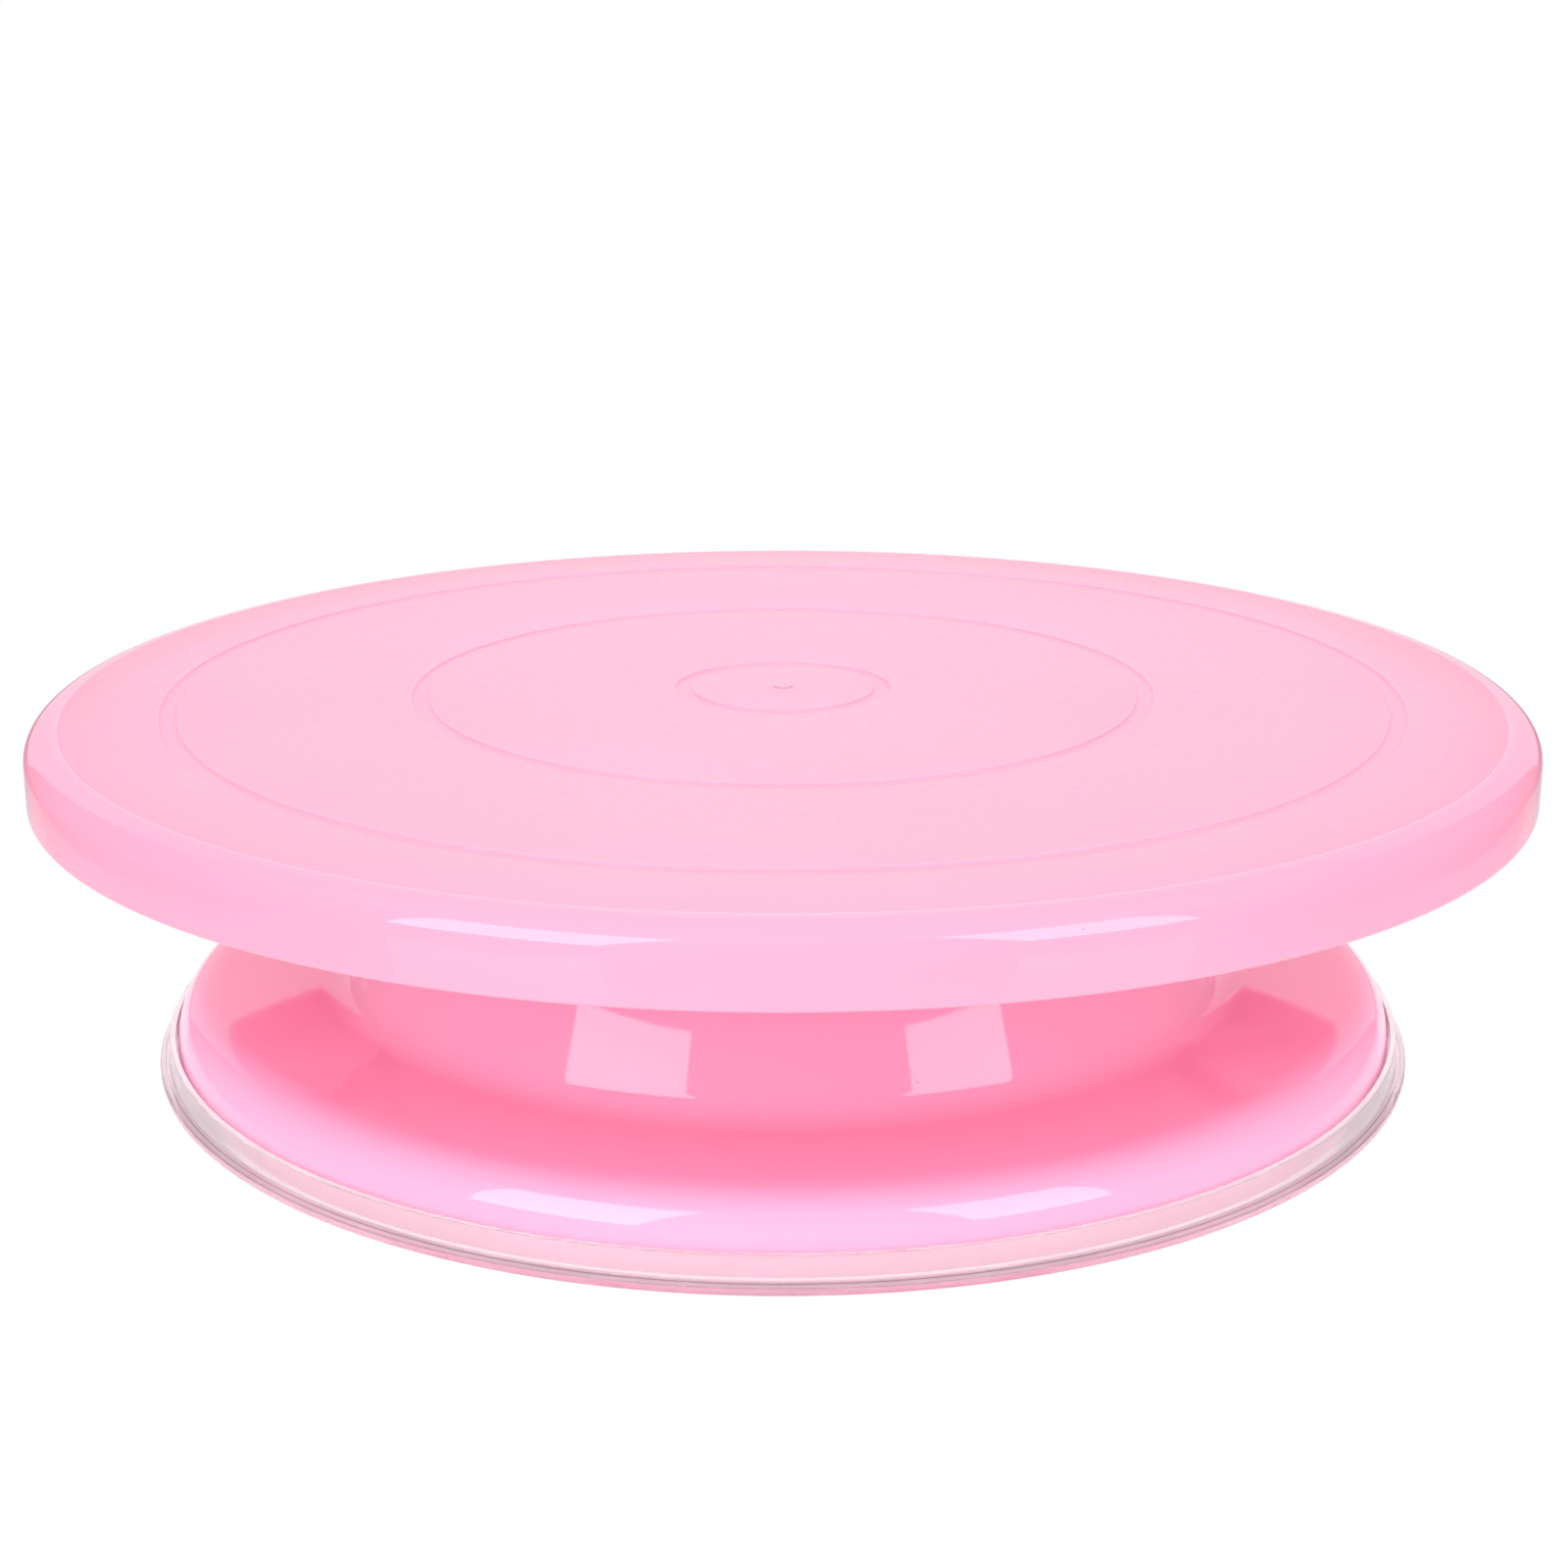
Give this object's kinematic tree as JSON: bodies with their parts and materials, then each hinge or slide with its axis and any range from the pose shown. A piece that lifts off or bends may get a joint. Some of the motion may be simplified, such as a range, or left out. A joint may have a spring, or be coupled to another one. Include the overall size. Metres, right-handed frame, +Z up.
{
  "type": "cake turntable",
  "caption": "Round cake decorating turntable: a rimmed plate with guide grooves spins on a ball bearing over a flanged pedestal with a clear anti-slip ring.",
  "frame": {"origin": "on the spin axis, on the surface that the turntable stands on", "axes": "+Z up along the spin axis; +X and +Y level, the object being round"},
  "size_m": [0.28, 0.28, 0.0675],
  "materials": {
    "plate_pink": "pale pink polypropylene, fine satin grain on the flat top, polished edge and skirt",
    "base_pink": "pink polypropylene with a polished gloss",
    "clear_soft_plastic": "clear soft elastomer, glossy, slightly grey",
    "race_steel": "pressed and turned steel with a faint circular grain",
    "ball_steel": "polished bearing steel",
    "zinc_steel": "bright zinc plating",
    "cage_plastic": "natural nylon, slightly translucent",
    "bush_acetal": "natural acetal, satin"
  },
  "bodies": {
    "base": {"base_shell": "base_pink", "anti_slip_ring": "clear_soft_plastic", "lower_race": "race_steel", "hub_bush": "bush_acetal"},
    "plate": {"turntable_plate": "plate_pink", "upper_race": "race_steel", "retaining_washer": "zinc_steel", "retaining_screw": "zinc_steel"},
    "ball_cage": {"ball_retainer": "cage_plastic"},
    "ball_01": {"ball_01": "ball_steel"},
    "ball_02": {"ball_02": "ball_steel"},
    "ball_03": {"ball_03": "ball_steel"},
    "ball_04": {"ball_04": "ball_steel"},
    "ball_05": {"ball_05": "ball_steel"},
    "ball_06": {"ball_06": "ball_steel"},
    "ball_07": {"ball_07": "ball_steel"},
    "ball_08": {"ball_08": "ball_steel"},
    "ball_09": {"ball_09": "ball_steel"},
    "ball_10": {"ball_10": "ball_steel"},
    "ball_11": {"ball_11": "ball_steel"},
    "ball_12": {"ball_12": "ball_steel"},
    "ball_13": {"ball_13": "ball_steel"},
    "ball_14": {"ball_14": "ball_steel"},
    "ball_15": {"ball_15": "ball_steel"},
    "ball_16": {"ball_16": "ball_steel"}
  },
  "joints": [
    {"name": "plate_spin", "type": "hinge", "parent": "base", "child": "plate", "pos_m": [0, 0, 0.0554], "axis": [0, 0, 1], "continuous": true},
    {"name": "cage_orbit", "type": "hinge", "parent": "base", "child": "ball_cage", "pos_m": [0, 0, 0.0554], "axis": [0, 0, 1], "continuous": true},
    {"name": "ball_01_roll", "type": "hinge", "parent": "ball_cage", "child": "ball_01", "pos_m": [0.032, 0, 0.0554], "axis": [1, 0, 0], "continuous": true},
    {"name": "ball_02_roll", "type": "hinge", "parent": "ball_cage", "child": "ball_02", "pos_m": [0.02956, 0.01225, 0.0554], "axis": [0.9239, 0.3827, 0], "continuous": true},
    {"name": "ball_03_roll", "type": "hinge", "parent": "ball_cage", "child": "ball_03", "pos_m": [0.02263, 0.02263, 0.0554], "axis": [0.7071, 0.7071, 0], "continuous": true},
    {"name": "ball_04_roll", "type": "hinge", "parent": "ball_cage", "child": "ball_04", "pos_m": [0.01225, 0.02956, 0.0554], "axis": [0.3827, 0.9239, 0], "continuous": true},
    {"name": "ball_05_roll", "type": "hinge", "parent": "ball_cage", "child": "ball_05", "pos_m": [0, 0.032, 0.0554], "axis": [0, 1, 0], "continuous": true},
    {"name": "ball_06_roll", "type": "hinge", "parent": "ball_cage", "child": "ball_06", "pos_m": [-0.01225, 0.02956, 0.0554], "axis": [-0.3827, 0.9239, 0], "continuous": true},
    {"name": "ball_07_roll", "type": "hinge", "parent": "ball_cage", "child": "ball_07", "pos_m": [-0.02263, 0.02263, 0.0554], "axis": [-0.7071, 0.7071, 0], "continuous": true},
    {"name": "ball_08_roll", "type": "hinge", "parent": "ball_cage", "child": "ball_08", "pos_m": [-0.02956, 0.01225, 0.0554], "axis": [-0.9239, 0.3827, 0], "continuous": true},
    {"name": "ball_09_roll", "type": "hinge", "parent": "ball_cage", "child": "ball_09", "pos_m": [-0.032, 0, 0.0554], "axis": [-1, 0, 0], "continuous": true},
    {"name": "ball_10_roll", "type": "hinge", "parent": "ball_cage", "child": "ball_10", "pos_m": [-0.02956, -0.01225, 0.0554], "axis": [-0.9239, -0.3827, 0], "continuous": true},
    {"name": "ball_11_roll", "type": "hinge", "parent": "ball_cage", "child": "ball_11", "pos_m": [-0.02263, -0.02263, 0.0554], "axis": [-0.7071, -0.7071, 0], "continuous": true},
    {"name": "ball_12_roll", "type": "hinge", "parent": "ball_cage", "child": "ball_12", "pos_m": [-0.01225, -0.02956, 0.0554], "axis": [-0.3827, -0.9239, 0], "continuous": true},
    {"name": "ball_13_roll", "type": "hinge", "parent": "ball_cage", "child": "ball_13", "pos_m": [0, -0.032, 0.0554], "axis": [0, -1, 0], "continuous": true},
    {"name": "ball_14_roll", "type": "hinge", "parent": "ball_cage", "child": "ball_14", "pos_m": [0.01225, -0.02956, 0.0554], "axis": [0.3827, -0.9239, 0], "continuous": true},
    {"name": "ball_15_roll", "type": "hinge", "parent": "ball_cage", "child": "ball_15", "pos_m": [0.02263, -0.02263, 0.0554], "axis": [0.7071, -0.7071, 0], "continuous": true},
    {"name": "ball_16_roll", "type": "hinge", "parent": "ball_cage", "child": "ball_16", "pos_m": [0.02956, -0.01225, 0.0554], "axis": [0.9239, -0.3827, 0], "continuous": true}
  ],
  "couplings": [
    {"joint": "cage_orbit", "follows": "plate_spin", "ratio": 0.5},
    {"joint": "ball_01_roll", "follows": "plate_spin", "ratio": -5.3333},
    {"joint": "ball_02_roll", "follows": "plate_spin", "ratio": -5.3333},
    {"joint": "ball_03_roll", "follows": "plate_spin", "ratio": -5.3333},
    {"joint": "ball_04_roll", "follows": "plate_spin", "ratio": -5.3333},
    {"joint": "ball_05_roll", "follows": "plate_spin", "ratio": -5.3333},
    {"joint": "ball_06_roll", "follows": "plate_spin", "ratio": -5.3333},
    {"joint": "ball_07_roll", "follows": "plate_spin", "ratio": -5.3333},
    {"joint": "ball_08_roll", "follows": "plate_spin", "ratio": -5.3333},
    {"joint": "ball_09_roll", "follows": "plate_spin", "ratio": -5.3333},
    {"joint": "ball_10_roll", "follows": "plate_spin", "ratio": -5.3333},
    {"joint": "ball_11_roll", "follows": "plate_spin", "ratio": -5.3333},
    {"joint": "ball_12_roll", "follows": "plate_spin", "ratio": -5.3333},
    {"joint": "ball_13_roll", "follows": "plate_spin", "ratio": -5.3333},
    {"joint": "ball_14_roll", "follows": "plate_spin", "ratio": -5.3333},
    {"joint": "ball_15_roll", "follows": "plate_spin", "ratio": -5.3333},
    {"joint": "ball_16_roll", "follows": "plate_spin", "ratio": -5.3333}
  ]
}
